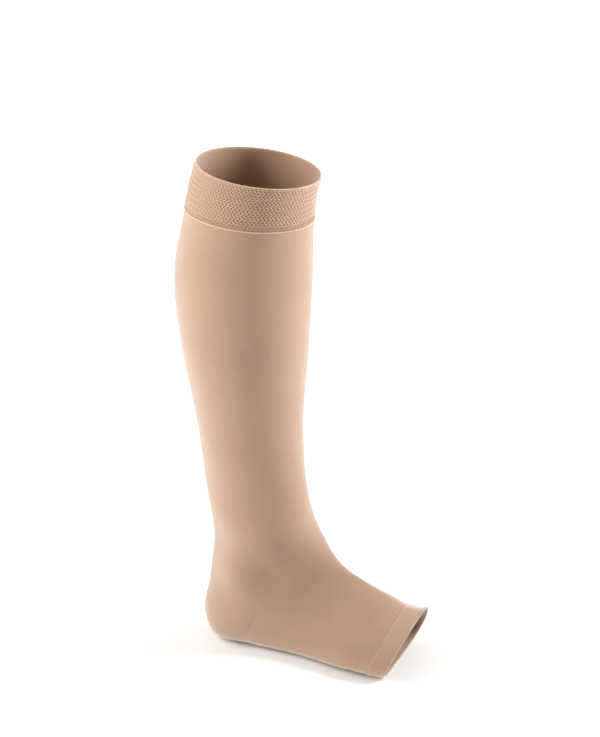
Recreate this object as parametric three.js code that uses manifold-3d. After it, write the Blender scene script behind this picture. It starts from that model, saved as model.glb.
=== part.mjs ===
// Knee-high open-toe compression stocking for a right leg, standing in the round as it is worn.
// Millimetres: +X to the toes, +Y to the inner side of the leg, +Z up.
// The origin is the middle of the top opening, where the leg holds the stocking.
import * as THREE from 'three';
import { mergeVertices } from 'three/addons/utils/BufferGeometryUtils.js';
import Module from 'manifold-3d';

// Driving sizes of the cloth
const KNIT_THICKNESS = 1.2;
const BAND_THICKNESS = 1.8;
const BAND_PROUD = 0.6;
const SEAM_GAP = 0.3;
const POINTS_ROUND = 40;

// Sections from the top edge to the toe edge, each lying across the leg or foot.
// back is its point on the calf, heel or sole and front its point on the shin or instep, as x from the
// ankle's axis and height above the floor. half is the half width. full says how full the back and the front
// of the section are, from 0.5 for an ellipse down to a flat sole. ridge leans the instep to the inner side.
const SECTIONS = [
  { name: 'top edge', back: [-42.5, 414], front: [55.5, 401], half: 49.5, full: [0.5, 0.5], ridge: 0 },
  { name: 'band middle', back: [-48, 396], front: [51, 384.5], half: 49.8, full: [0.5, 0.5], ridge: 0 },
  { name: 'band seam', back: [-52.5, 375], front: [49.5, 365.5], half: 50.5, full: [0.5, 0.5], ridge: 0 },
  { name: 'calf', back: [-62.5, 322], front: [48.5, 316], half: 53, full: [0.5, 0.52], ridge: 0 },
  { name: 'low calf', back: [-58.5, 262], front: [45.5, 258], half: 49.5, full: [0.52, 0.52], ridge: 0 },
  { name: 'shin', back: [-47, 195], front: [41.5, 193], half: 40, full: [0.54, 0.52], ridge: 0 },
  { name: 'ankle', back: [-40, 132], front: [45.5, 136], half: 34, full: [0.58, 0.5], ridge: 0 },
  { name: 'ankle bones', back: [-34.5, 88], front: [52.5, 109], half: 36, full: [0.62, 0.5], ridge: 0 },
  { name: 'heel', back: [-39, 50], front: [62, 95], half: 32.5, full: [0.6, 0.52], ridge: 0 },
  { name: 'heel corner', back: [-42.5, 20], front: [68.5, 87], half: 32, full: [0.46, 0.55], ridge: 0 },
  { name: 'under heel', back: [-34, 3], front: [74, 81], half: 31.5, full: [0.36, 0.58], ridge: 0 },
  { name: 'arch', back: [0, 0], front: [82, 73], half: 29.5, full: [0.28, 0.62], ridge: 2 },
  { name: 'midfoot', back: [40, 0], front: [95.5, 64], half: 31.5, full: [0.24, 0.66], ridge: 5 },
  { name: 'ball', back: [87, 0], front: [119, 51.5], half: 42.5, full: [0.24, 0.66], ridge: 7 },
  { name: 'toe seam', back: [112, 0], front: [129.5, 45], half: 45, full: [0.24, 0.66], ridge: 8 },
  { name: 'toe edge', back: [128, 0.5], front: [145.5, 43.5], half: 46.5, full: [0.26, 0.64], ridge: 9 },
];

// Soft rounding over the ankle on each side, side -1 being the outer one, and the shallow hollows beside it,
// where out is negative
const ANKLE_SWELLS = [
  { x: -4, height: 70, side: -1, reach: 14, out: 5.5 },
  { x: -25, height: 92, side: -1, reach: 14, out: -2.5 },
  { x: 30, height: 76, side: -1, reach: 14, out: -2.5 },
  { x: 4, height: 82, side: 1, reach: 14, out: 5 },
  { x: -22, height: 100, side: 1, reach: 14, out: -2.5 },
];
const SWELL_BLEND = 20;

// Stretches of the wall between two sections, with how many rings each is divided into
const BAND_STRETCHES = [{ from: 'top edge', to: 'band seam', steps: 5 }];
const TUBE_STRETCHES = [
  { from: 'band seam', to: 'ankle', steps: 25 },
  { from: 'ankle', to: 'arch', steps: 20 },
  { from: 'arch', to: 'toe seam', steps: 9 },
];
const TOE_STRETCHES = [{ from: 'toe seam', to: 'toe edge', steps: 3 }];

// Heel pocket: its two gore lines start at a corner on each side of the heel
const GORE_CORNER = new THREE.Vector2(14, 35);
const GORE_BACK = new THREE.Vector2(-26, 16);
const GORE_SOLE = new THREE.Vector2(-2, 7.5);
const GORE_REACH = 120;

// The middle of the top opening is the origin
const TOP = SECTIONS[0];
const HOLD_X = (TOP.back[0] + TOP.front[0]) / 2;
const HOLD_HEIGHT = (TOP.back[1] + TOP.front[1]) / 2;

// Form of the stocking
const COLUMNS = SECTIONS.map((row) => [...row.back, ...row.front, row.half, ...row.full, row.ridge]);

// Distance down the stocking of each section, taken midway between the back and the front
function sectionDistances() {
  const distances = [0];
  for (let i = 1; i < SECTIONS.length; i += 1) {
    const [above, here] = [SECTIONS[i - 1], SECTIONS[i]];
    const behind = Math.hypot(here.back[0] - above.back[0], here.back[1] - above.back[1]);
    const before = Math.hypot(here.front[0] - above.front[0], here.front[1] - above.front[1]);
    distances.push(distances[i - 1] + (behind + before) / 2);
  }
  return distances;
}

const DISTANCES = sectionDistances();

function distanceOf(name) {
  return DISTANCES[SECTIONS.findIndex((row) => row.name === name)];
}

// Slope of one column at each section, so that a smooth curve runs through them all
function columnSlopes(column) {
  const value = (i) => COLUMNS[i][column];
  const last = SECTIONS.length - 1;
  const length = (i) => DISTANCES[i + 1] - DISTANCES[i];
  const rise = (i) => (value(i + 1) - value(i)) / length(i);
  const slopes = [];
  for (let i = 1; i < last; i += 1) {
    slopes[i] = (rise(i - 1) * length(i) + rise(i) * length(i - 1)) / (length(i - 1) + length(i));
  }
  slopes[0] = 1.5 * rise(0) - 0.5 * slopes[1];
  slopes[last] = 1.5 * rise(last - 1) - 0.5 * slopes[last - 1];
  return slopes;
}

const SLOPES = COLUMNS[0].map((_, column) => columnSlopes(column));

function sectionAt(distance) {
  let i = 0;
  while (i < SECTIONS.length - 2 && DISTANCES[i + 1] <= distance) {
    i += 1;
  }
  const length = DISTANCES[i + 1] - DISTANCES[i];
  const u = (distance - DISTANCES[i]) / length;
  const blend = (column) => (2 * u ** 3 - 3 * u ** 2 + 1) * COLUMNS[i][column]
    + (u ** 3 - 2 * u ** 2 + u) * length * SLOPES[column][i]
    + (3 * u ** 2 - 2 * u ** 3) * COLUMNS[i + 1][column]
    + (u ** 3 - u ** 2) * length * SLOPES[column][i + 1];
  const [backX, backZ, frontX, frontZ, half, fullBack, fullFront, ridge] = COLUMNS[i].map((_, c) => blend(c));
  return { backX, backZ, frontX, frontZ, half, fullBack, fullFront, ridge };
}

// Width of a section at u, from 0 at its back to 1 at its front, as a share of the half width
function widthShare(section, u) {
  const { fullBack, fullFront } = section;
  const widest = fullBack / (fullBack + fullFront);
  const profile = (at) => at ** fullBack * (1 - at) ** fullFront;
  return profile(u) / profile(widest);
}

// Places u and widths of evenly spaced points from the back to the front along one side of a section,
// found on a finer division of the same curve
function evenSide(section) {
  const fine = 120;
  const depth = Math.hypot(section.frontX - section.backX, section.frontZ - section.backZ);
  const points = [];
  let run = 0;
  for (let i = 0; i <= fine; i += 1) {
    const u = (1 - Math.cos((Math.PI * i) / fine)) / 2;
    const width = widthShare(section, u) * section.half;
    if (i > 0) {
      const before = points[i - 1];
      run += Math.hypot((u - before.u) * depth, width - before.width);
    }
    points.push({ u, width, run });
  }
  const side = [];
  let i = 0;
  for (let k = 0; k <= POINTS_ROUND / 2; k += 1) {
    const goal = (run * k) / (POINTS_ROUND / 2);
    while (i < fine - 1 && points[i + 1].run < goal) {
      i += 1;
    }
    const [low, high] = [points[i], points[i + 1]];
    const share = Math.min(1, (goal - low.run) / (high.run - low.run));
    side.push({ u: low.u + share * (high.u - low.u), width: low.width + share * (high.width - low.width) });
  }
  return side;
}

// How far the ankle's soft rounding moves a point sideways
function swellAt(x, y, height) {
  let out = 0;
  for (const swell of ANKLE_SWELLS) {
    const away = ((x - swell.x) ** 2 + (height - swell.height) ** 2) / (2 * swell.reach ** 2);
    const share = THREE.MathUtils.clamp((y * swell.side) / SWELL_BLEND, 0, 1);
    out += swell.side * swell.out * Math.exp(-away) * share;
  }
  return out;
}

// One ring of the outer surface: point 0 is at the back or sole, and the inner side comes first
function ringAt(distance) {
  const section = sectionAt(distance);
  const side = evenSide(section);
  const place = ({ u, width }, sign) => {
    const x = section.backX + u * (section.frontX - section.backX);
    const height = section.backZ + u * (section.frontZ - section.backZ);
    const y = sign * width + section.ridge * u * u;
    return new THREE.Vector3(x - HOLD_X, y + swellAt(x, y, height), height - HOLD_HEIGHT);
  };
  const inner = side.slice(0, -1).map((spot) => place(spot, 1));
  const outer = side.slice(1).reverse().map((spot) => place(spot, -1));
  return [...inner, ...outer];
}

// The same ring moved out from the cloth's surface, or in where out is negative
function movedRing(distance, out) {
  const step = 1;
  const [above, here, below] = [ringAt(distance - step), ringAt(distance), ringAt(distance + step)];
  return here.map((point, k) => {
    const before = here[(k + POINTS_ROUND - 1) % POINTS_ROUND];
    const after = here[(k + 1) % POINTS_ROUND];
    const round = new THREE.Vector3().subVectors(after, before);
    const down = new THREE.Vector3().subVectors(below[k], above[k]);
    const normal = round.cross(down).normalize();
    return point.clone().addScaledVector(normal, out);
  });
}

// Distances of the rings of a piece, drawn back by half a seam's gap at the ends that are sewn on
function ringDistances(stretches, sewnStart, sewnEnd) {
  const distances = [];
  for (const { from, to, steps } of stretches) {
    const [start, end] = [distanceOf(from), distanceOf(to)];
    for (let i = distances.length ? 1 : 0; i <= steps; i += 1) {
      distances.push(start + ((end - start) * i) / steps);
    }
  }
  distances[0] += sewnStart ? SEAM_GAP / 2 : 0;
  distances[distances.length - 1] -= sewnEnd ? SEAM_GAP / 2 : 0;
  return distances;
}

// A tube of cloth with an outer skin, an inner skin and a rim at each end
function tubeWall(distances, outside, inside) {
  const rings = distances.length;
  const outer = distances.map((distance) => movedRing(distance, outside));
  const inner = distances.map((distance) => movedRing(distance, inside));
  const positions = [...outer, ...inner].flat().flatMap((point) => point.toArray());
  const index = [];
  const outerPoint = (j, k) => j * POINTS_ROUND + (k % POINTS_ROUND);
  const innerPoint = (j, k) => (rings + j) * POINTS_ROUND + (k % POINTS_ROUND);
  const quad = (a, b, c, d) => index.push(a, b, c, a, c, d);
  for (let k = 0; k < POINTS_ROUND; k += 1) {
    for (let j = 0; j < rings - 1; j += 1) {
      quad(outerPoint(j, k), outerPoint(j, k + 1), outerPoint(j + 1, k + 1), outerPoint(j + 1, k));
      quad(innerPoint(j, k), innerPoint(j + 1, k), innerPoint(j + 1, k + 1), innerPoint(j, k + 1));
    }
    const end = rings - 1;
    quad(outerPoint(0, k), innerPoint(0, k), innerPoint(0, k + 1), outerPoint(0, k + 1));
    quad(outerPoint(end, k), outerPoint(end, k + 1), innerPoint(end, k + 1), innerPoint(end, k));
  }
  const geometry = new THREE.BufferGeometry();
  geometry.setAttribute('position', new THREE.Float32BufferAttribute(positions, 3));
  geometry.setIndex(index);
  return geometry;
}

// Solid cutting of the heel pocket
const wasm = await Module();
wasm.setup();

function toSolid(geometry) {
  const sameSpot = 1e-4;
  const bare = geometry.clone();
  bare.deleteAttribute('normal');
  bare.deleteAttribute('uv');
  const merged = mergeVertices(bare, sameSpot);
  return new wasm.Manifold(new wasm.Mesh({
    numProp: 3,
    vertProperties: new Float32Array(merged.attributes.position.array),
    triVerts: new Uint32Array(merged.index.array),
  }));
}

function toGeometry(solid) {
  const mesh = solid.getMesh();
  const geometry = new THREE.BufferGeometry();
  geometry.setAttribute('position', new THREE.BufferAttribute(mesh.vertProperties, mesh.numProp));
  geometry.setIndex(new THREE.BufferAttribute(mesh.triVerts, 1));
  return geometry;
}

// A wedge right across the heel between the two gore lines, grown all round by an amount
function goreWedge(grow) {
  const back = new THREE.Vector2().subVectors(GORE_BACK, GORE_CORNER).normalize();
  const sole = new THREE.Vector2().subVectors(GORE_SOLE, GORE_CORNER).normalize();
  const middle = new THREE.Vector2().addVectors(back, sole).normalize();
  const halfAngle = Math.acos(middle.dot(back));
  const corner = GORE_CORNER.clone().addScaledVector(middle, -grow / Math.sin(halfAngle));
  const outline = [
    corner,
    corner.clone().addScaledVector(back, GORE_REACH),
    corner.clone().addScaledVector(sole, GORE_REACH),
  ];
  const shape = new THREE.Shape(outline);
  const wedge = new THREE.ExtrudeGeometry(shape, { depth: GORE_REACH, bevelEnabled: false });
  wedge.rotateX(Math.PI / 2);
  wedge.translate(-HOLD_X, GORE_REACH / 2, -HOLD_HEIGHT);
  return toSolid(wedge);
}

// Materials
const knitCloth = new THREE.MeshStandardMaterial({ color: 0xc8a48a, roughness: 0.85, metalness: 0 });
const heelCloth = new THREE.MeshStandardMaterial({ color: 0xc39e84, roughness: 0.85, metalness: 0 });
const bandCloth = new THREE.MeshStandardMaterial({ color: 0xb99379, roughness: 0.9, metalness: 0 });

const stocking = new THREE.Group();

function addPiece(name, geometry, material) {
  const mesh = new THREE.Mesh(geometry, material);
  mesh.name = name;
  stocking.add(mesh);
}

// Leg and foot: one seamless knitted tube, with the heel pocket knitted into it
const wholeTube = toSolid(tubeWall(ringDistances(TUBE_STRETCHES, true, true), 0, -KNIT_THICKNESS));
addPiece('leg_foot_tube', toGeometry(wholeTube.subtract(goreWedge(SEAM_GAP / 2))), knitCloth);
addPiece('heel_pocket', toGeometry(wholeTube.intersect(goreWedge(-SEAM_GAP / 2))), heelCloth);

// Top band: doubled elastic knit, sewn to the top of the tube
const bandInside = BAND_PROUD - BAND_THICKNESS;
addPiece('top_band', tubeWall(ringDistances(BAND_STRETCHES, false, true), BAND_PROUD, bandInside), bandCloth);

// Toe band: the hem of the open toe, folded double
addPiece('toe_band', tubeWall(ringDistances(TOE_STRETCHES, true, false), BAND_PROUD, bandInside), bandCloth);

export default stocking;
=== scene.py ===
# Knee-high compression stocking with an open toe, the right one, standing in the round as when it is worn.
# +X is to the toes, +Y to its inner side, +Z up, and the origin is the middle of the top opening.
import math
from collections import namedtuple

import bmesh
import bpy
import numpy as np
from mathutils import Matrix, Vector
from mathutils.bvhtree import BVHTree


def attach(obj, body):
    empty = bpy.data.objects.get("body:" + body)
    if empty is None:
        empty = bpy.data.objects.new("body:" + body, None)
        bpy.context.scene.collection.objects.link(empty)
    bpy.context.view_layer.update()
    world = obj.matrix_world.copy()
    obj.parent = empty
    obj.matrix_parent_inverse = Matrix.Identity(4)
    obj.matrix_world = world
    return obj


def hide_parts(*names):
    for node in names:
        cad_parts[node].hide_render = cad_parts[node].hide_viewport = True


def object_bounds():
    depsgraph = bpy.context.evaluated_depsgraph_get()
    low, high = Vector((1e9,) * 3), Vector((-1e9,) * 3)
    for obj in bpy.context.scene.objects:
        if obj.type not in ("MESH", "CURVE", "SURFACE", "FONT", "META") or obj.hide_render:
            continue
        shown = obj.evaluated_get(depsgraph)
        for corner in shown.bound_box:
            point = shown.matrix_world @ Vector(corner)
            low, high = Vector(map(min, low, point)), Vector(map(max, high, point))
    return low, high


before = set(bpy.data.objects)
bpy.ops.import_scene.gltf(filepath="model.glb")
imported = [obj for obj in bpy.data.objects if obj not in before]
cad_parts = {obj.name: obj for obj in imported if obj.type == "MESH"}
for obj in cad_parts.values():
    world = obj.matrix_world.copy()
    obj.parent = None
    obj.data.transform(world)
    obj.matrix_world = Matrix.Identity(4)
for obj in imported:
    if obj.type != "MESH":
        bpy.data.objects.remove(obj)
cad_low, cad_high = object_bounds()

# Leg and foot tube
# One seamless tube of covered elastic yarn, knitted round on a circular machine. It is shaped by its own
# stitches, so it has no cut edge or side seam, and it is stretched tight, without a wrinkle.
MM = 0.001
# Rings down the stocking, in mm: where the back and the front of each lie, with heights above the floor, half
# its width, how full it is behind and in front, and how far its front leans to the inner side
Section = namedtuple("Section", "back_x back_height front_x front_height half full_back full_front ridge")
SECTIONS = {
    "top edge": Section(-42.5, 414, 55.5, 401, 49.5, 0.5, 0.5, 0),
    "band middle": Section(-48, 396, 51, 384.5, 49.8, 0.5, 0.5, 0),
    "band seam": Section(-52.5, 375, 49.5, 365.5, 50.5, 0.5, 0.5, 0),
    "calf": Section(-62.5, 322, 48.5, 316, 53, 0.5, 0.52, 0),
    "low calf": Section(-58.5, 262, 45.5, 258, 49.5, 0.52, 0.52, 0),
    "shin": Section(-47, 195, 41.5, 193, 40, 0.54, 0.52, 0),
    "ankle": Section(-40, 132, 45.5, 136, 34, 0.58, 0.5, 0),
    "ankle swell": Section(-34.5, 88, 52.5, 109, 36, 0.62, 0.5, 0),
    "heel": Section(-39, 50, 62, 95, 32.5, 0.6, 0.52, 0),
    "heel corner": Section(-42.5, 20, 68.5, 87, 32, 0.46, 0.55, 0),
    "under heel": Section(-34, 3, 74, 81, 31.5, 0.36, 0.58, 0),
    "arch": Section(0, 0, 82, 73, 29.5, 0.28, 0.62, 2),
    "midfoot": Section(40, 0, 95.5, 64, 31.5, 0.24, 0.66, 5),
    "ball": Section(87, 0, 119, 51.5, 42.5, 0.24, 0.66, 7),
    "toe seam": Section(112, 0, 129.5, 45, 45, 0.24, 0.66, 8),
    "toe edge": Section(128, 0.5, 145.5, 43.5, 46.5, 0.26, 0.64, 9),
}
TABLE = np.array(list(SECTIONS.values()), float)
TOP = SECTIONS["top edge"]
HOLD = np.array([(TOP.back_x + TOP.front_x) / 2, 0, (TOP.back_height + TOP.front_height) / 2])
# Soft swells and hollows on both sides of the ankle: each stands out mm proud and fades over its reach
ANKLE_SWELLS = (
    {"x": -4, "height": 70, "side": -1, "reach": 14, "out": 5.5},
    {"x": -25, "height": 92, "side": -1, "reach": 14, "out": -2.5},
    {"x": 30, "height": 76, "side": -1, "reach": 14, "out": -2.5},
    {"x": 4, "height": 82, "side": 1, "reach": 14, "out": 5},
    {"x": -22, "height": 100, "side": 1, "reach": 14, "out": -2.5},
)
SWELL_BLEND = 20
CALF_GIRTH = 340
RING_STEPS = 721

back_steps = np.linalg.norm(np.diff(TABLE[:, 0:2], axis=0), axis=1)
front_steps = np.linalg.norm(np.diff(TABLE[:, 2:4], axis=0), axis=1)
DOWN = np.concatenate([[0], np.cumsum((back_steps + front_steps) / 2)])
AT = dict(zip(SECTIONS, DOWN))


def sections_at(distances):
    """The table's row at each distance down the stocking, on smooth curves through its rows."""
    gaps = np.diff(DOWN)[:, None]
    rise = np.diff(TABLE, axis=0) / gaps
    slope = np.empty_like(TABLE)
    slope[1:-1] = (rise[:-1] * gaps[1:] + rise[1:] * gaps[:-1]) / (gaps[:-1] + gaps[1:])
    slope[0] = 1.5 * rise[0] - 0.5 * slope[1]
    slope[-1] = 1.5 * rise[-1] - 0.5 * slope[-2]
    i = np.clip(np.searchsorted(DOWN, distances, side="right") - 1, 0, len(DOWN) - 2)
    gap = gaps[i]
    u = ((distances - DOWN[i])[:, None]) / gap
    return ((2 * u**3 - 3 * u**2 + 1) * TABLE[i] + (u**3 - 2 * u**2 + u) * gap * slope[i]
            + (3 * u**2 - 2 * u**3) * TABLE[i + 1] + (u**3 - u**2) * gap * slope[i + 1])


def surface(distances, places):
    """Points in mm at places round each ring: 0 at the back or sole, 0.25 on the inner side, 0.5 in front."""
    fine = (1 - np.cos(np.linspace(0, math.pi, RING_STEPS))) / 2
    points = np.empty(places.shape + (3,))
    for row, (values, around) in enumerate(zip(sections_at(distances), places)):
        section = Section(*values)
        widest = section.full_back / (section.full_back + section.full_front)
        most = widest**section.full_back * (1 - widest)**section.full_front
        width = section.half * fine**section.full_back * (1 - fine)**section.full_front / most
        depth = np.array([section.front_x - section.back_x, section.front_height - section.back_height])
        run = np.concatenate([[0], np.cumsum(np.hypot(np.diff(fine) * np.hypot(*depth), np.diff(width)))])
        turn = np.mod(around, 1)
        side = np.where(turn <= 0.5, 1, -1)
        goal = run[-1] * np.where(turn <= 0.5, 2 * turn, 2 - 2 * turn)
        u = np.interp(goal, run, fine)
        points[row, :, 0] = section.back_x + u * depth[0]
        points[row, :, 1] = side * np.interp(goal, run, width) + section.ridge * u * u
        points[row, :, 2] = section.back_height + u * depth[1]
    for swell in ANKLE_SWELLS:
        away = (points[..., 0] - swell["x"])**2 + (points[..., 2] - swell["height"])**2
        share = np.clip(points[..., 1] * swell["side"] / SWELL_BLEND, 0, 1)
        points[..., 1] += swell["side"] * swell["out"] * np.exp(-away / (2 * swell["reach"]**2)) * share
    return points - HOLD


def skin(distances, places, out=0.0):
    """Points in metres on the outer surface, moved out along its normals by out mm, and those normals."""
    distances = np.asarray(distances, float)
    places = np.broadcast_to(places, (len(distances), np.shape(places)[-1]))
    step, turn = 1.0, 0.002
    round_way = surface(distances, places + turn) - surface(distances, places - turn)
    down_way = surface(distances + step, places) - surface(distances - step, places)
    normals = np.cross(round_way, down_way)
    normals /= np.linalg.norm(normals, axis=-1, keepdims=True)
    out = np.broadcast_to(np.asarray(out, float), places.shape)[..., None]
    return (surface(distances, places) + normals * out) * MM, normals


def smooth_mesh(name, points, corners, uvs):
    """A smooth mesh of points in metres and four-cornered faces, with a UV in mm for each corner."""
    mesh = bpy.data.meshes.new(name)
    mesh.from_pydata(points.reshape(-1, 3).tolist(), [], corners.reshape(-1, 4).tolist())
    mesh.uv_layers.new(name="UVMap").data.foreach_set("uv", uvs.astype(np.float32).ravel())
    mesh.polygons.foreach_set("use_smooth", np.ones(len(mesh.polygons), bool))
    mesh.update()
    return mesh


def cloth_mesh(name, points, across, along, closed=False):
    """A smooth mesh round the rows of points, with UVs in mm.
    Where it is closed, the last row joins the first."""
    rows, count = points.shape[:2]
    j, k = np.meshgrid(np.arange(rows if closed else rows - 1), np.arange(count), indexing="ij")
    below, beside = (j + 1) % rows, (k + 1) % count
    corners = np.stack([j * count + k, j * count + beside, below * count + beside, below * count + k], -1)
    uv_across = np.stack([across[k], across[k + 1], across[k + 1], across[k]], -1)
    uv_along = np.stack([along[j], along[j], along[j + 1], along[j + 1]], -1)
    return smooth_mesh(name, points, corners, np.stack([uv_across, uv_along], -1))


def put(name, mesh):
    """Puts a mesh into the scene."""
    piece = bpy.data.objects.new(name, mesh)
    bpy.context.scene.collection.objects.link(piece)
    return piece


def linear(code):
    """An sRGB hex colour as the linear one that a shader takes."""
    parts = [int(code[i:i + 2], 16) / 255 for i in (1, 3, 5)]
    return (*(p / 12.92 if p <= 0.04045 else ((p + 0.055) / 1.055)**2.4 for p in parts), 1.0)


def add(tree, kind, inputs=None, **settings):
    """Adds a node with its settings. An input is a value, a socket, or a node whose first output feeds it."""
    made = tree.nodes.new(kind)
    for key, value in settings.items():
        setattr(made, key, value)
    for key, value in (inputs or {}).items():
        if isinstance(value, bpy.types.Node):
            value = value.outputs[0]
        if isinstance(value, bpy.types.NodeSocket):
            tree.links.new(value, made.inputs[key])
        else:
            made.inputs[key].default_value = value
    return made


# The real stitches are about 0.6 mm wide and 0.45 mm high. They are drawn twice as coarse, so that they show.
WALE = 1.2
COURSE = 0.9
STITCH_RELIEF = 0.1
COURSE_DEPTH = 0.3
# Noise cells to the millimetre, and what the grain, the clouds and the stitches add to the cloth's tone
GRAIN_SCALE = 0.9
CLOUD_SCALE = 0.025
GRAIN_SHARE = 0.9
CLOUD_SHARE = 0.35
STITCH_SHARE = 0.4
TONE_OFFSET = -0.2


def microfibre_knit(name, cloth, shade):
    """Plain knit of polyamide yarn round an elastane core: matte and dense, with a pale fuzz of microfibres
    that lights up where the cloth turns away. cloth is its colour, and shade a darker one: the yarn's uneven
    tone mixes it in at random, and it is painted shade in the gaps between the stitches."""
    material = bpy.data.materials.new(name)
    material.use_nodes = True
    tree = material.node_tree
    shader = tree.nodes["Principled BSDF"]
    uv = add(tree, "ShaderNodeUVMap", uv_map="UVMap")
    place = add(tree, "ShaderNodeSeparateXYZ", {0: uv})
    wales = add(tree, "ShaderNodeMath", {0: place.outputs[0], 1: WALE}, operation="DIVIDE")
    courses = add(tree, "ShaderNodeMath", {0: place.outputs[1], 1: COURSE}, operation="DIVIDE")
    # Each wale is a column of V stitches: its two legs lean, so the course steps down towards its middle
    in_wale = add(tree, "ShaderNodeMath", {0: wales}, operation="FRACT")
    centred = add(tree, "ShaderNodeMath", {0: in_wale, 1: 0.5}, operation="SUBTRACT")
    from_middle = add(tree, "ShaderNodeMath", {0: centred}, operation="ABSOLUTE")
    leaning = add(tree, "ShaderNodeMath", {0: courses, 1: from_middle}, operation="ADD")
    course_turn = add(tree, "ShaderNodeMath", {0: leaning, 1: 2 * math.pi}, operation="MULTIPLY")
    course_wave = add(tree, "ShaderNodeMath", {0: course_turn}, operation="SINE")
    wale_turn = add(tree, "ShaderNodeMath", {0: in_wale, 1: math.pi}, operation="MULTIPLY")
    wale_wave = add(tree, "ShaderNodeMath", {0: wale_turn}, operation="SINE")
    leg = add(tree, "ShaderNodeMath", {0: course_wave, 1: COURSE_DEPTH, 2: 1 - COURSE_DEPTH},
              operation="MULTIPLY_ADD")
    stitch = add(tree, "ShaderNodeMath", {0: wale_wave, 1: leg}, operation="MULTIPLY")
    # Uneven yarn tension mottles the cloth over a millimetre or two, and faintly over the width of a hand
    grain = add(tree, "ShaderNodeTexNoise",
                {"Vector": uv, "Scale": GRAIN_SCALE, "Detail": 3.0, "Roughness": 0.7})
    cloud = add(tree, "ShaderNodeTexNoise", {"Vector": uv, "Scale": CLOUD_SCALE, "Detail": 2.0})
    mottle = add(tree, "ShaderNodeMath", {0: cloud, 1: CLOUD_SHARE, 2: TONE_OFFSET}, operation="MULTIPLY_ADD")
    uneven = add(tree, "ShaderNodeMath", {0: grain, 1: GRAIN_SHARE, 2: mottle}, operation="MULTIPLY_ADD")
    tone = add(tree, "ShaderNodeMath", {0: stitch, 1: STITCH_SHARE, 2: uneven}, operation="MULTIPLY_ADD")
    # Grain and clouds mix in the darker colour as uneven tone; between the stitches it is painted shade.
    colour = add(tree, "ShaderNodeMix", {0: tone, 6: linear(shade), 7: linear(cloth)}, data_type="RGBA")
    height = add(tree, "ShaderNodeMath", {0: stitch, 1: grain}, operation="ADD")
    bump = add(tree, "ShaderNodeBump", {"Height": height, "Distance": STITCH_RELIEF * MM, "Strength": 0.6})
    tree.links.new(colour.outputs[2], shader.inputs["Base Color"])
    tree.links.new(bump.outputs[0], shader.inputs["Normal"])
    shader.inputs["Roughness"].default_value = 0.85
    shader.inputs["Specular IOR Level"].default_value = 0.25
    shader.inputs["IOR"].default_value = 1.53
    shader.inputs["Sheen Weight"].default_value = 1.0
    shader.inputs["Sheen Roughness"].default_value = 0.45
    shader.inputs["Sheen Tint"].default_value = linear("#fff7f0")
    return material


TUBE_ROUND = 160
TUBE_ROW = 2.2
KNIT_THICKNESS = 1.2
SEAM_CLEARANCE = 0.06
BODY_COLOUR = "#ab8c75"
BODY_GRAIN_AND_SHADE = "#846651"
body_knit = microfibre_knit("polyamide_elastane_knit", BODY_COLOUR, BODY_GRAIN_AND_SHADE)
tube_rows = int((AT["toe seam"] - AT["band seam"]) / TUBE_ROW)
tube_down = np.linspace(AT["band seam"] + SEAM_CLEARANCE, AT["toe seam"] - SEAM_CLEARANCE, tube_rows)
tube_places = np.arange(TUBE_ROUND) / TUBE_ROUND
tube_across = np.arange(TUBE_ROUND + 1) / TUBE_ROUND * CALF_GIRTH
whole_tube = cloth_mesh("leg_foot_cloth", skin(tube_down, tube_places)[0], tube_across, tube_down)

# Heel pocket
# Knitted back and forth in short rows and joined to the tube along two gore lines on each side, which meet
# at a corner below the ankle: one runs to the back of the heel, the other down to the sole.
GORE_CORNER = np.array([14, 35])
GORE_BACK = np.array([-26, 16])
GORE_SOLE = np.array([-2, 7.5])
# The tube and the pocket each keep this far from the line's cut
BACK_GAP = 0.02
SOLE_GAP = 0.05


def gore_plane(end, gap, inward):
    """A point on a gore line's cut and its normal, which points into the pocket, gap mm in from the line."""
    way = (end - GORE_CORNER) / np.linalg.norm(end - GORE_CORNER)
    normal = np.array([way[1], -way[0]]) * inward
    point = GORE_CORNER + normal * gap
    return Vector((point[0], 0, point[1])), Vector((normal[0], 0, normal[1]))


def above_sole(face):
    """The middle of a face in mm, with its height above the floor."""
    return face.calc_center_median() / MM + Vector(HOLD)


def heel_cut(name, pocket):
    """The tube's mesh without its heel pocket, or the heel pocket alone."""
    side = 1 if pocket else -1
    planes = [gore_plane(GORE_BACK, BACK_GAP * side, -1), gore_plane(GORE_SOLE, SOLE_GAP * side, 1)]
    cloth = bmesh.new()
    cloth.from_mesh(whole_tube)
    highest, foremost = 60, 40
    for point, normal in planes:
        near = [face for face in cloth.faces
                if above_sole(face).z < highest and above_sole(face).x < foremost]
        edges = {edge for face in near for edge in face.edges}
        corners = {corner for face in near for corner in face.verts}
        bmesh.ops.bisect_plane(cloth, geom=[*corners, *edges, *near], plane_co=(point - Vector(HOLD)) * MM,
                               plane_no=normal, dist=1e-7)
    inside = {face for face in cloth.faces
              if all((above_sole(face) - point).dot(normal) > 0 for point, normal in planes)}
    gone = [face for face in cloth.faces if (face in inside) != pocket]
    bmesh.ops.delete(cloth, geom=gone, context="FACES")
    # The cut edges stay crisp, so the two cloths look flush
    for edge in cloth.edges:
        edge.smooth = not edge.is_boundary
    mesh = bpy.data.meshes.new(name)
    cloth.to_mesh(mesh)
    cloth.free()
    return mesh


def walled(piece, thickness):
    """Gives the cloth its thickness, inwards from its outer surface."""
    wall = piece.modifiers.new("wall", "SOLIDIFY")
    wall.thickness = thickness * MM
    wall.offset = -1
    wall.use_even_offset = True


leg_foot = put("leg_foot_cloth", heel_cut("leg_foot_cloth", False))
walled(leg_foot, KNIT_THICKNESS)
leg_foot.data.materials.append(body_knit)
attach(leg_foot, "root")
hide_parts("leg_foot_tube")

heel = put("heel_cloth", heel_cut("heel_cloth", True))
walled(heel, KNIT_THICKNESS)
heel.data.materials.append(microfibre_knit("polyamide_elastane_knit_heel", "#a98a73", "#836550"))
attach(heel, "root")
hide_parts("heel_pocket")
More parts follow.
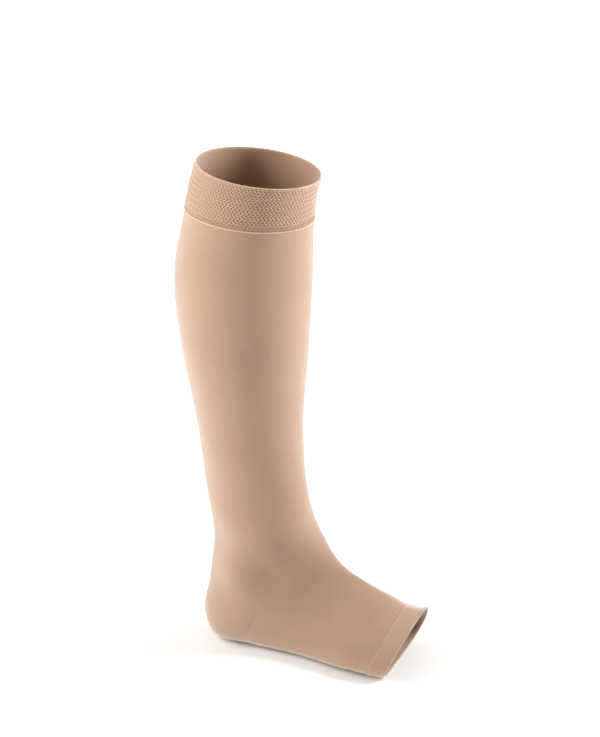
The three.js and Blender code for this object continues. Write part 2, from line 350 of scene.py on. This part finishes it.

# Gore stitches of the heel
# Where the short rows end, the yarn bridges the join in small rungs with a dark eyelet between them, from
# the inner corner down and across under the sole. Up the outer side the join is drawn tight, as a hairline.
# On the inner side a tightened stitch line runs on from the corner towards the instep.
# The eyelets and the tightened line are thin dark pieces on the cloth: painted shade of the holes and the
# groove.
RUNG_PITCH = 1.25
RUNG_LENGTH = 2.4
RUNG_THICKNESS = 0.4
RUNG_SINK = 0.25
BRIDGED_FROM = -20
EYELET_LENGTH = 1.5
EYELET_THICKNESS = 0.55
# How far open the eyelets are, from the sole's outer part to the inner side. They open wide where the cloth
# is stretched most, and close up over the sole.
OPEN_AT = (BRIDGED_FROM, 0, 15)
OPEN_SHARE = (0.4, 0.7, 1)
LOOP_REACH = 14
LOOP_HALF_TURN = 140
LOOP_RAYS = 561
LINE_THICKNESS = 0.3
LINE_SINK = 0.3
LINE_POINTS = 40
THREAD_SIDES = 6
STITCH_POINTS = 7
BLUNT_TIP = 0.04
PLY_RELIEF = 0.04
PLY_SHADE = 0.86
# The tightened line: where it starts behind the corner, two handles of its curve, and its end
LINE_CURVE = ((10, 40), (13, 32), (30, 31), (46, 26))


def thread_mesh(name, runs, normals, thickness, closed=False):
    """Round threads along runs of points, one run a row, with rings square to the run and to the normals."""
    count, length = runs.shape[:2]
    if closed:
        ahead = np.roll(runs, -1, 1) - np.roll(runs, 1, 1)
        girth = np.ones(length)
    else:
        ahead = np.gradient(runs, axis=1)
        girth = np.sqrt(np.clip(1 + BLUNT_TIP - np.linspace(-1, 1, length)**4, 0, 1))
    aside = np.cross(ahead, normals)
    aside /= np.linalg.norm(aside, axis=-1, keepdims=True)
    upward = np.cross(aside, ahead)
    upward /= np.linalg.norm(upward, axis=-1, keepdims=True)
    turns = 2 * math.pi * np.arange(THREAD_SIDES) / THREAD_SIDES
    radius = (girth * thickness / 2 * MM)[:, None, None]
    rings = runs[:, :, None] + radius * (
        aside[:, :, None] * np.cos(turns)[:, None] + upward[:, :, None] * np.sin(turns)[:, None])
    steps = length if closed else length - 1
    run, step, side = np.meshgrid(np.arange(count), np.arange(steps), np.arange(THREAD_SIDES), indexing="ij")
    next_step, next_side = (step + 1) % length, (side + 1) % THREAD_SIDES
    places = [(step, side), (step, next_side), (next_step, next_side), (next_step, side)]
    corners = np.stack([(run * length + s) * THREAD_SIDES + t for s, t in places], -1)
    along = np.linalg.norm(np.diff(runs, axis=1), axis=-1).mean() / MM
    round_way = math.pi * thickness / THREAD_SIDES
    spots = [(step, side), (step, side + 1), (step + 1, side + 1), (step + 1, side)]
    uvs = np.stack([np.stack([s * along, t * round_way], -1) for s, t in spots], -2)
    return smooth_mesh(name, rings, corners, uvs)


def gore_loop(end, reach):
    """Points in metres round the heel on a gore line's cut, and the cloth's normals there. They run from the
    corner on the outer side, past end, to the corner on the inner side. The rays that find them start
    reach mm from the corner."""
    way = (end - GORE_CORNER) / np.linalg.norm(end - GORE_CORNER)
    heart = Vector((GORE_CORNER[0] + way[0] * reach, 0, GORE_CORNER[1] + way[1] * reach)) - Vector(HOLD)
    along, across = Vector((way[0], 0, way[1])), Vector((0, 1, 0))
    points, normals = [], []
    for angle in np.radians(np.linspace(-LOOP_HALF_TURN, LOOP_HALF_TURN, LOOP_RAYS)):
        ray = along * math.cos(angle) + across * math.sin(angle)
        spot, normal, _, _ = outer_surface.ray_cast(heart * MM, ray)
        height_past = (spot / MM - heart).dot(along) + reach
        if height_past > 0:
            points.append(spot)
            normals.append(normal)
    return np.array(points), np.array(normals)


def evenly(points, normals, pitch):
    """The same line with a point every pitch mm, and its normals."""
    run = np.concatenate([[0], np.cumsum(np.linalg.norm(np.diff(points, axis=0), axis=1))]) / MM
    goals = np.arange(pitch / 2, run[-1], pitch)
    spots = np.stack([np.interp(goals, run, points[:, axis]) for axis in range(3)], -1)
    ways = np.stack([np.interp(goals, run, normals[:, axis]) for axis in range(3)], -1)
    return spots, ways / np.linalg.norm(ways, axis=1, keepdims=True)


def rungs(spots, normals, length, sink):
    """A short run across the line at each of its spots, arched so that its ends dip into the cloth."""
    across = np.cross(normals, np.gradient(spots, axis=0))
    across /= np.linalg.norm(across, axis=1, keepdims=True)
    share = np.linspace(-1, 1, STITCH_POINTS)[None, :, None]
    length = np.broadcast_to(length, len(spots))[:, None, None]
    arch = -sink * share**2
    runs = spots[:, None] + (across[:, None] * share * length / 2 + normals[:, None] * arch) * MM
    return runs, np.broadcast_to(normals[:, None], runs.shape)


def spun_thread(name, colour, twist):
    """Twisted textured yarn: soft and matte, with the faint slanted lines of its plies, twist mm apart."""
    material = bpy.data.materials.new(name)
    material.use_nodes = True
    tree = material.node_tree
    shader = tree.nodes["Principled BSDF"]
    uv = add(tree, "ShaderNodeUVMap", uv_map="UVMap")
    place = add(tree, "ShaderNodeSeparateXYZ", {0: uv})
    slant = add(tree, "ShaderNodeMath", {0: place.outputs[0], 1: place.outputs[1]}, operation="ADD")
    turn = add(tree, "ShaderNodeMath", {0: slant, 1: 2 * math.pi / twist}, operation="MULTIPLY")
    ply = add(tree, "ShaderNodeMath", {0: turn}, operation="SINE")
    bump = add(tree, "ShaderNodeBump", {"Height": ply, "Distance": PLY_RELIEF * MM, "Strength": 0.5})
    fuzz = add(tree, "ShaderNodeTexNoise", {"Vector": uv, "Scale": 1.5, "Detail": 2.0})
    shade = tuple(PLY_SHADE * part for part in linear(colour)[:3]) + (1.0,)
    tint = add(tree, "ShaderNodeMix", {0: fuzz, 6: shade, 7: linear(colour)}, data_type="RGBA")
    tree.links.new(tint.outputs[2], shader.inputs["Base Color"])
    tree.links.new(bump.outputs[0], shader.inputs["Normal"])
    shader.inputs["Roughness"].default_value = 0.8
    shader.inputs["IOR"].default_value = 1.53
    shader.inputs["Specular IOR Level"].default_value = 0.25
    shader.inputs["Sheen Weight"].default_value = 0.4
    shader.inputs["Sheen Roughness"].default_value = 0.5
    return material


def sewn(name, runs, thickness, material, closed=False):
    """Puts yarn on the stocking along runs: its points in metres, and the normals of the cloth there."""
    points, normals = runs
    piece = put(name, thread_mesh(name, points, normals, thickness, closed))
    piece.data.materials.append(material)
    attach(piece, "root")


tube_shape = bmesh.new()
tube_shape.from_mesh(whole_tube)
outer_surface = BVHTree.FromBMesh(tube_shape)
tube_shape.free()
knit_yarn = spun_thread("covered_elastic_yarn", "#d2b198", twist=0.5)
# Dark yarn pieces that stand as painted shade in the heel's eyelets and line and in the band's seam eyelets.
painted_gap_shade = spun_thread("painted_shade_of_gaps", "#6f513f", twist=0.5)

rung_spots, rung_normals = evenly(*gore_loop(GORE_SOLE, LOOP_REACH), RUNG_PITCH)
bridged = rung_spots[:, 1] / MM > BRIDGED_FROM
rung_spots, rung_normals = rung_spots[bridged], rung_normals[bridged]
rung_runs = rungs(rung_spots, rung_normals, RUNG_LENGTH, RUNG_SINK)
sewn("heel_gore_rungs", rung_runs, RUNG_THICKNESS, knit_yarn)

between_spots = (rung_spots[1:] + rung_spots[:-1]) / 2
between_normals = (rung_normals[1:] + rung_normals[:-1]) / 2
openness = np.interp(between_spots[:, 1] / MM, OPEN_AT, OPEN_SHARE)
eyelet_runs = rungs(between_spots, between_normals, EYELET_LENGTH * openness, RUNG_SINK)
sewn("heel_gore_eyelet_shade", eyelet_runs, EYELET_THICKNESS, painted_gap_shade)

start, first_handle, second_handle, finish = (np.array(point) for point in LINE_CURVE)
share = np.linspace(0, 1, LINE_POINTS)[:, None]
curve = ((1 - share)**3 * start + 3 * share * (1 - share)**2 * first_handle
         + 3 * share**2 * (1 - share) * second_handle + share**3 * finish)
hits = [outer_surface.ray_cast((Vector((x, 0, height)) - Vector(HOLD)) * MM, Vector((0, 1, 0)))
        for x, height in curve]
line_normals = np.array([hit[1] for hit in hits])
line_points = np.array([hit[0] for hit in hits]) - line_normals * LINE_THICKNESS * LINE_SINK * MM
line_run = line_points[None], line_normals[None]
sewn("heel_stitch_line_shade", line_run, LINE_THICKNESS, painted_gap_shade)

# Top band
# A broad elastic band, knitted double with a zigzag of raised ribs and sewn to the top of the tube. The ribs
# give it grip and its coarse look beside the fine knit.
BAND_PROUD = 0.6
BAND_THICKNESS = 1.8
RIBS = 101
RIB_SAMPLES = 8
RIB_HEIGHT = 0.5
GROOVE_DEPTH = 0.3
ZIGZAG_ROW = 2.24
ROW_PARTS = 4
ZIGZAG_BELOW_EDGE = 2.6
ZIGZAG_ABOVE_SEAM = 4.7
INNER_ROWS = 12

zig_start, zig_end = ZIGZAG_BELOW_EDGE, AT["band seam"] - ZIGZAG_ABOVE_SEAM
zig_rows = int(round((zig_end - zig_start) / ZIGZAG_ROW))
zig_share = np.arange(zig_rows * ROW_PARTS + 1) / ROW_PARTS
band_down = zig_start + zig_share * (zig_end - zig_start) / zig_rows
# A rib swings one rib to the side over a row and back over the next, and dips where it turns
band_swing = np.abs(np.mod(zig_share, 2) - 1) - 0.5
band_rib = 0.5 + 0.5 * np.abs(np.sin(math.pi * zig_share))
columns = np.arange(RIBS * RIB_SAMPLES)
profile = 0.5 + 0.5 * np.cos(2 * math.pi * columns / RIB_SAMPLES)
zig_places = columns / len(columns) + band_swing[:, None] / RIBS
# The same share lifts the ribs and mixes in the ground colour, so the grooves and dips get painted shade.
zig_height_and_shade = profile[None, :] * band_rib[:, None]
zig_points = skin(band_down, zig_places, BAND_PROUD - GROOVE_DEPTH + RIB_HEIGHT * zig_height_and_shade)[0]


def plain_row(distance, out, swing):
    """A row of points round the band, turned by a share of a rib, so that it meets the zigzag."""
    return skin([distance], columns / len(columns) + swing / RIBS, out)[0][0]


band_inside = BAND_PROUD - BAND_THICKNESS
seam = AT["band seam"]
above, below = band_swing[0], band_swing[-1]
# Rows over the top edge and down to the seam: how far each lies below the edge or seam and how far out, in
# mm, and how light it shows, from 0 in a groove to 1 on a crest. The darker rows are painted shade: in the
# dip beside the edge stitches, in the gaps between the overlock stitches and as a shadow under the cord.
EDGE_ROWS = (
    (0.5, band_inside + 0.25, 0.8),
    (0.05, band_inside + 0.6, 0.9),
    (0.0, -0.1, 1.0),
    (0.15, 0.35, 0.9),
    (0.55, BAND_PROUD - 0.05, 0.6),
    (0.95, BAND_PROUD - 0.35, 0.2),
    (1.5, BAND_PROUD - 0.15, 0.6),
    (2.1, BAND_PROUD - 0.3, 0.4),
)
SEAM_ROWS = (
    (-4.3, BAND_PROUD - 0.35, 0.15),
    (-2.8, BAND_PROUD - 0.35, 0.1),
    (-2.4, BAND_PROUD - 0.3, 0.6),
    (-1.9, BAND_PROUD - 0.3, 0.7),
    (-1.4, BAND_PROUD - 0.3, 0.6),
    (-0.5, BAND_PROUD - 0.35, 0.6),
    (-SEAM_CLEARANCE, 0.0, 0.3),
    (-SEAM_CLEARANCE, band_inside, 0.6),
)
INSIDE_LIGHT = 0.7
band_rows = [(plain_row(down, out, above), light) for down, out, light in EDGE_ROWS]
band_rows += zip(zig_points, zig_height_and_shade)
band_rows += [(plain_row(seam + down, out, below), light) for down, out, light in SEAM_ROWS]
inner_down = np.linspace(seam - 3, 2, INNER_ROWS)
inner_swing = np.linspace(below, above, INNER_ROWS)
band_rows += [(plain_row(distance, band_inside, swing), INSIDE_LIGHT)
              for distance, swing in zip(inner_down, inner_swing)]
band_points = np.array([points for points, _ in band_rows])
band_shade_mix = np.array([np.broadcast_to(rise, len(columns)) for _, rise in band_rows])
steps = np.linalg.norm(np.diff(np.concatenate([band_points, band_points[:1]])[:, 0], axis=0), axis=1)
band_along = np.concatenate([[0], np.cumsum(steps)]) / MM
band_across = np.arange(len(columns) + 1) / len(columns) * CALF_GIRTH
band = put("top_band_cloth", cloth_mesh("top_band_cloth", band_points, band_across, band_along, closed=True))
shade_mix_values = band.data.attributes.new("rise", "FLOAT", "POINT")
shade_mix_values.data.foreach_set("value", band_shade_mix.astype(np.float32).ravel())


def ribbed_knit(name, crest, shade, ground):
    """Elastic rib knit: pale raised ribs of bulked yarn, with the darker, tighter ground between them. The
    ground colour is partly the tight knit's own and partly painted shade in the grooves, mixed in by the
    band's rise.
    """
    material = microfibre_knit(name, crest, shade)
    tree = material.node_tree
    shader = tree.nodes["Principled BSDF"]
    knit_colour = shader.inputs["Base Color"].links[0].from_socket
    # rise mixes in the ground colour: painted shade in the grooves, with the tight ground's own darker
    # colour.
    rise = add(tree, "ShaderNodeAttribute", attribute_name="rise")
    colour = add(tree, "ShaderNodeMix", {0: rise.outputs["Fac"], 6: linear(ground), 7: knit_colour},
                 data_type="RGBA")
    tree.links.new(colour.outputs[2], shader.inputs["Base Color"])
    return material


band.data.materials.append(ribbed_knit("elastic_rib_knit", "#cba98c", "#b89477", "#785845"))
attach(band, "root")
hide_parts("top_band")

# Sewing of the top band
# A line of flat stitches under the top edge. Above the join there are slanted overlock stitches and a row of
# small eyelets, and a thin elastic cord lies all round over the join itself.
EDGE_STITCH_DOWN = 1.5
EDGE_STITCH_LENGTH = 1.8
EDGE_STITCH_THICKNESS = 0.45
EDGE_STITCH_SUNK = 0.05
EDGE_STITCH_DIP = 0.35
OVERLOCK_STITCHES = 202
OVERLOCK_ABOVE = 3.5
OVERLOCK_HEIGHT = 1.5
OVERLOCK_LEAN = 0.9
OVERLOCK_THICKNESS = 0.55
OVERLOCK_SUNK = 0.1
OVERLOCK_DIP = 0.3
EYELETS_ABOVE = 1.85
EYELET_HEIGHT = 0.5
EYELET_WIDTH = 0.85
EYELET_SUNK = 0.35
EYELET_DIP = 0.1
CORD_ABOVE = 0.75
CORD_THICKNESS = 1.0
CORD_SUNK = 0.2
CORD_POINTS = 480


def stitch_row(count, distance, height, width, out, dip):
    """A row of stitches round the stocking. Each is height mm high, leans width mm, and dips at its ends."""
    share = np.linspace(-0.5, 0.5, STITCH_POINTS)
    centres = (np.arange(count) + 0.5) / count
    places = centres + share[:, None] * width / CALF_GIRTH
    runs, normals = skin(distance + share * height, places, (out - dip * (2 * share)**4)[:, None])
    return runs.transpose(1, 0, 2), normals.transpose(1, 0, 2)


sewing_yarn = spun_thread("texturised_polyester_thread", "#d4b397", twist=0.6)
edge_runs = stitch_row(
    RIBS, EDGE_STITCH_DOWN, 0.0, EDGE_STITCH_LENGTH, BAND_PROUD - EDGE_STITCH_SUNK, EDGE_STITCH_DIP)
sewn("top_edge_stitches", edge_runs, EDGE_STITCH_THICKNESS, sewing_yarn)
overlock_runs = stitch_row(OVERLOCK_STITCHES, seam - OVERLOCK_ABOVE, OVERLOCK_HEIGHT, OVERLOCK_LEAN,
                           BAND_PROUD - OVERLOCK_SUNK, OVERLOCK_DIP)
sewn("band_overlock_stitches", overlock_runs, OVERLOCK_THICKNESS, sewing_yarn)
# The eyelets are dark pieces of painted shade in the gaps between the overlock stitches.
eyelet_runs = stitch_row(
    OVERLOCK_STITCHES, seam - EYELETS_ABOVE, EYELET_HEIGHT, 0.0, BAND_PROUD - EYELET_SUNK, EYELET_DIP)
sewn("band_seam_eyelet_shade", eyelet_runs, EYELET_WIDTH, painted_gap_shade)
cord_places = np.arange(CORD_POINTS) / CORD_POINTS
cord_run = skin([seam - CORD_ABOVE], cord_places, BAND_PROUD - CORD_SUNK)
sewn("band_seam_cord", cord_run, CORD_THICKNESS, sewing_yarn, closed=True)

# Toe band
# The edge of the open toe, folded back double and sewn down all round with one fine thread.
TOE_ROUND = 200
THREAD_BELOW = 0.3
THREAD_OUT = 0.2
THREAD_THICKNESS = 0.45
toe_places = np.arange(TOE_ROUND) / TOE_ROUND
toe_start, toe_end = AT["toe seam"] + SEAM_CLEARANCE, AT["toe edge"]
toe_inside = BAND_PROUD - BAND_THICKNESS
# Places round the section of the hem, from inside its seam to inside its edge: how far below the seam or the
# edge each lies, and how far out. The folded edge shows through as a faint step.
HEM_SEAM = ((0, toe_inside), (0, 0.05), (0.8, BAND_PROUD - 0.3), (1.7, BAND_PROUD - 0.1))
HEM_EDGE = ((-2.3, BAND_PROUD - 0.12), (-1.9, BAND_PROUD + 0.05), (-0.7, BAND_PROUD), (-0.15, 0.35),
            (0, -0.3), (-0.15, -0.9), (-0.7, toe_inside))
toe_profile = [(toe_start + down, out) for down, out in HEM_SEAM]
toe_profile += [(distance, BAND_PROUD) for distance in np.linspace(toe_start + 2.5, toe_end - 3.2, 6)]
toe_profile += [(toe_end + down, out) for down, out in HEM_EDGE]
toe_profile += [(distance, toe_inside) for distance in np.linspace(toe_end - 3, toe_start + 2, 7)]
toe_points = np.array([skin([distance], toe_places, out)[0][0] for distance, out in toe_profile])
toe_steps = np.linalg.norm(np.diff(np.concatenate([toe_points, toe_points[:1]])[:, 0], axis=0), axis=1)
toe_along = np.concatenate([[0], np.cumsum(toe_steps)]) / MM
toe_across = np.arange(TOE_ROUND + 1) / TOE_ROUND * CALF_GIRTH
toe = put("toe_band_cloth", cloth_mesh("toe_band_cloth", toe_points, toe_across, toe_along, closed=True))
toe.data.materials.append(microfibre_knit("polyamide_elastane_knit_hem", BODY_COLOUR, BODY_GRAIN_AND_SHADE))
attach(toe, "root")
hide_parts("toe_band")
thread_run = skin([toe_start + THREAD_BELOW], cord_places, THREAD_OUT)
sewn("toe_seam_thread", thread_run, THREAD_THICKNESS, sewing_yarn, closed=True)

# Floor
# A plain white studio floor of matte paper under the sole. Away from the stocking it is lit by lamps of its
# own, which are drawn as a glow of the paper, so that it stays pale all round.
FLOOR_REACH = 25.0
FLOOR_GLOW = 0.75
GLOW_FROM = 0.5
GLOW_FULL = 1.7
floor_mesh = bpy.data.meshes.new("floor")
floor_corners = [(x * FLOOR_REACH, y * FLOOR_REACH, 0) for x, y in ((-1, -1), (1, -1), (1, 1), (-1, 1))]
floor_mesh.from_pydata(floor_corners, [], [(0, 1, 2, 3)])
floor = put("floor", floor_mesh)
floor.location.z = cad_low.z
paper = bpy.data.materials.new("white_paper")
paper.use_nodes = True
paper_tree = paper.node_tree
paper_shader = paper_tree.nodes["Principled BSDF"]
paper_shader.inputs["Base Color"].default_value = linear("#fafaf8")
paper_shader.inputs["Roughness"].default_value = 0.9
paper_shader.inputs["Emission Color"].default_value = (1, 1, 1, 1)
floor_place = add(paper_tree, "ShaderNodeTexCoord")
from_stocking = add(paper_tree, "ShaderNodeVectorMath", {0: floor_place.outputs["Object"]},
                    operation="LENGTH")
glow_range = {"From Min": GLOW_FROM, "From Max": GLOW_FULL, "To Max": FLOOR_GLOW}
glow = add(paper_tree, "ShaderNodeMapRange", {"Value": from_stocking.outputs["Value"], **glow_range},
           interpolation_type="SMOOTHSTEP")
paper_tree.links.new(glow.outputs[0], paper_shader.inputs["Emission Strength"])
floor.data.materials.append(paper)

# Camera
# At the photograph's angle: from the outer side, a little from in front and from above. Its place and its
# aim are in mm, with heights above the floor.
EYE = (704.7, -1731.1, 936.9)
AIM = (33.9, 18.3, 237.1)
LENS_PIXELS = 2475
PICTURE_HEIGHT = 737
camera_data = bpy.data.cameras.new("camera")
camera = bpy.data.objects.new("camera", camera_data)
bpy.context.scene.collection.objects.link(camera)
camera_data.lens = camera_data.sensor_width * LENS_PIXELS / PICTURE_HEIGHT
camera.location = (Vector(EYE) - Vector(HOLD)) * MM
camera.rotation_mode = "QUATERNION"
camera.rotation_quaternion = (Vector(AIM) - Vector(EYE)).to_track_quat("-Z", "Y")
bpy.context.scene.camera = camera

# Studio light
# A tall soft box on each side with a weak one behind it, a broad weak one overhead, and a bank of lamps
# behind the stocking that whitens the floor. The room is white, pale where it meets the floor and dim above.
BOX_AWAY = 1.4
BOX_RAISED = 0.6
BOX_SIZE = (0.35, 1.6)
OVER_UP = 3.0
OVER_SIZE = (3.0, 3.0)
BANK_BEHIND = 3.5
BANK_UP = 2.5
BANK_SIZE = (5.0, 3.0)
ROOM_GLOW = 0.85
ROOM_DIM = 0.04
DIM_FROM = 0.12
DIM_FULL = 0.35
middle = (cad_low + cad_high) / 2
ahead = (Vector((AIM[0], AIM[1], 0)) - Vector((EYE[0], EYE[1], 0))).normalized()
aside = Vector((ahead.y, -ahead.x, 0))
ground = Vector((middle.x, middle.y, cad_low.z))
up = Vector((0, 0, 1))


def soft_box(name, place, target, size, power):
    """A rectangular lamp of power watts at its place, turned to its target."""
    data = bpy.data.lights.new(name, "AREA")
    data.shape = "RECTANGLE"
    data.size, data.size_y = size
    data.energy = power
    light = bpy.data.objects.new(name, data)
    bpy.context.scene.collection.objects.link(light)
    light.location = place
    light.rotation_mode = "QUATERNION"
    light.rotation_quaternion = (target - place).to_track_quat("-Z", "Y")


def beside(degrees):
    """A place beside the stocking, at an angle round it from the camera's side to the right."""
    angle = math.radians(degrees)
    return middle + (-ahead * math.cos(angle) + aside * math.sin(angle)) * BOX_AWAY + up * BOX_RAISED


soft_box("left_box", beside(-75), middle, BOX_SIZE, 31)
soft_box("left_back_box", beside(-120), middle, BOX_SIZE, 5)
soft_box("right_box", beside(90), middle, BOX_SIZE, 36)
soft_box("right_back_box", beside(120), middle, BOX_SIZE, 4)
soft_box("over_box", ground + up * OVER_UP, ground, OVER_SIZE, 19)
behind = ground + ahead * BANK_BEHIND
soft_box("back_bank", behind + up * BANK_UP, behind, BANK_SIZE, 50)
world = bpy.data.worlds.new("white_room")
world.use_nodes = True
heading = add(world.node_tree, "ShaderNodeTexCoord")
heading_parts = add(world.node_tree, "ShaderNodeSeparateXYZ", {0: heading})
dimming = {"From Min": DIM_FROM, "From Max": DIM_FULL, "To Min": ROOM_GLOW, "To Max": ROOM_DIM}
room = add(world.node_tree, "ShaderNodeMapRange", {"Value": heading_parts.outputs[2], **dimming},
           interpolation_type="SMOOTHSTEP")
room_light = world.node_tree.nodes["Background"]
world.node_tree.links.new(room.outputs[0], room_light.inputs["Strength"])
room_light.inputs["Color"].default_value = (1, 1, 1, 1)
bpy.context.scene.world = world
bpy.context.scene.view_settings.view_transform = "Standard"
